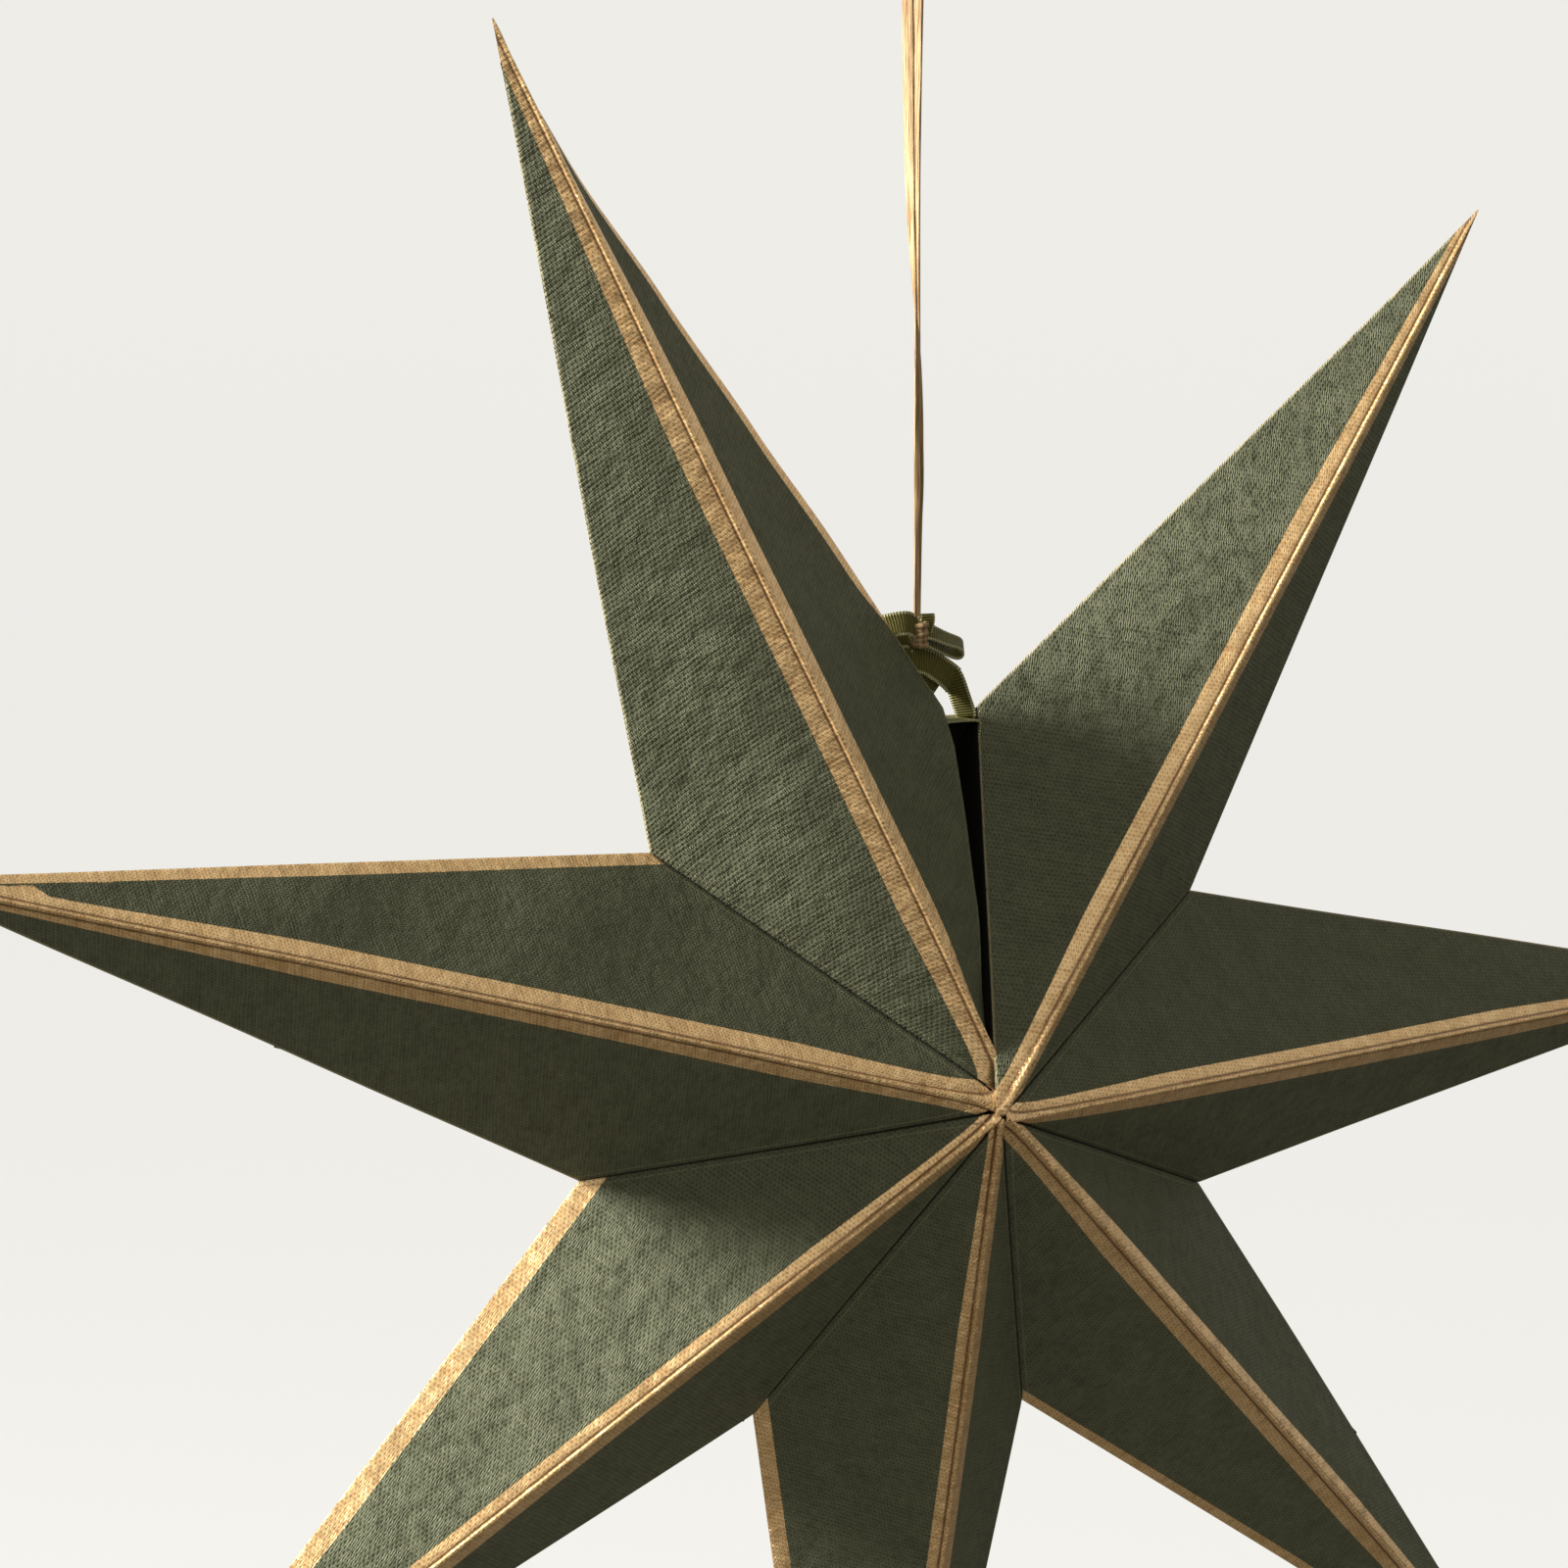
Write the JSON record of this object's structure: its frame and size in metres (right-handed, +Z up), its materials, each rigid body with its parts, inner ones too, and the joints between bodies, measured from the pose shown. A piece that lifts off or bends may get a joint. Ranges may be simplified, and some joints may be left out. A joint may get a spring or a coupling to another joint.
{
  "type": "folded paper star lantern",
  "caption": "Hanging seven-pointed star of dark green linen paper with gold fold lines, tied with a ribbon and hung from a doubled raffia cord.",
  "frame": {"origin": "Where the cord's loop bears on its hook; the centre of the star is 300 mm straight below it.", "axes": "+Z up along the cord. The star is flat in the X-Z plane and its front faces -Y. +X is the star's right-hand side seen from the front."},
  "size_m": [0.5892, 0.0872, 0.6016],
  "materials": {
    "linen_paper": "heavy paper, woven linen emboss, satin gold lines along the folds",
    "grosgrain_ribbon": "dark green ribbed ribbon",
    "raffia": "dry natural fibre strips"
  },
  "bodies": {
    "root": {"point_1": "linen_paper", "point_2": "linen_paper", "point_3": "linen_paper", "point_4": "linen_paper", "point_5": "linen_paper", "point_6": "linen_paper", "point_7": "linen_paper", "closing_strap": "grosgrain_ribbon", "bow": "grosgrain_ribbon", "hanging_cord": "raffia"}
  },
  "joints": []
}
